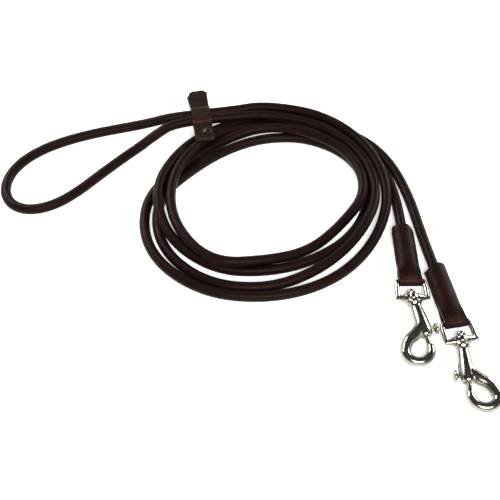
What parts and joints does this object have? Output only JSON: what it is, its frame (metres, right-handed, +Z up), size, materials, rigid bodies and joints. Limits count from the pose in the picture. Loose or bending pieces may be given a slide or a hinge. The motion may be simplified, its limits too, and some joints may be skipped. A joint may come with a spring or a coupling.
{
  "type": "training leash",
  "caption": "Round cord dog training leash with a handle loop, a sliding leather keeper and a swivel bolt snap in a leather sleeve on each end, laid in a loose coil",
  "frame": {"origin": "on the surface the leash lies on, under the middle of the box round the keeper, sleeves and snaps", "axes": "+Z up; +X from the handle loop towards the snaps; the snaps point along -Y"},
  "size_m": [0.3663, 0.3006, 0.0181],
  "materials": {
    "cord": "smooth dark brown, soft sheen",
    "sleeve_leather": "dark red-brown, polished along folds",
    "keeper_leather": "dark brown, slightly lighter than the cord",
    "thread": "waxed dark brown thread",
    "nickel": "bright nickel plate, warm tint",
    "rivet": "dark antique finish",
    "spring_steel": "drawn wire"
  },
  "bodies": {
    "cord_and_sleeves": {"cord_handle_loop": "cord", "cord_coil": "cord", "cord_lead_a": "cord", "cord_lead_b": "cord", "sleeve_a": "sleeve_leather", "sleeve_b": "sleeve_leather", "sleeve_a_stitching": "thread", "sleeve_b_stitching": "thread"},
    "keeper": {"keeper_strap": "keeper_leather", "keeper_rivet_cap": "rivet", "keeper_rivet_post": "rivet", "keeper_stitching": "thread"},
    "eye_a": {"snap_eye_a": "nickel"},
    "snap_a": {"snap_hook_body_a": "nickel", "snap_swivel_stud_a": "nickel", "snap_bolt_spring_a": "spring_steel"},
    "bolt_a": {"snap_bolt_a": "nickel", "snap_thumb_knob_a": "nickel"},
    "eye_b": {"snap_eye_b": "nickel"},
    "snap_b": {"snap_hook_body_b": "nickel", "snap_swivel_stud_b": "nickel", "snap_bolt_spring_b": "spring_steel"},
    "bolt_b": {"snap_bolt_b": "nickel", "snap_thumb_knob_b": "nickel"}
  },
  "joints": [
    {"name": "keeper_slide", "type": "slide", "parent": "cord_and_sleeves", "child": "keeper", "axis": [0.989, 0.1478, 0], "range_m": [-0.006, 0.002]},
    {"name": "eye_a_tilt", "type": "hinge", "parent": "cord_and_sleeves", "child": "eye_a", "pos_m": [0.05968, -0.0444, 0.0056], "axis": [0.9998, 0.0209, 0], "range_deg": [-75, 75]},
    {"name": "snap_a_swivel", "type": "hinge", "parent": "eye_a", "child": "snap_a", "pos_m": [0.06, -0.0595, 0.0056], "axis": [0.1907, -0.9813, -0.0262], "range_deg": [-120, 120]},
    {"name": "bolt_a_slide", "type": "slide", "parent": "snap_a", "child": "bolt_a", "axis": [-0.1907, 0.9813, 0.0262], "range_m": [0, 0.008], "stiffness_N_per_m": 300, "springref_m": -0.008, "deforming": ["snap_bolt_spring_a"]},
    {"name": "eye_b_tilt", "type": "hinge", "parent": "cord_and_sleeves", "child": "eye_b", "pos_m": [0.08725, -0.08005, 0.0056], "axis": [0.9833, 0.1822, 0], "range_deg": [-75, 75]},
    {"name": "snap_b_swivel", "type": "hinge", "parent": "eye_b", "child": "snap_b", "pos_m": [0.09, -0.0949, 0.0056], "axis": [0, -0.9997, -0.0262], "continuous": true},
    {"name": "bolt_b_slide", "type": "slide", "parent": "snap_b", "child": "bolt_b", "axis": [0, 0.9997, 0.0262], "range_m": [0, 0.008], "stiffness_N_per_m": 300, "springref_m": -0.008, "deforming": ["snap_bolt_spring_b"]}
  ]
}
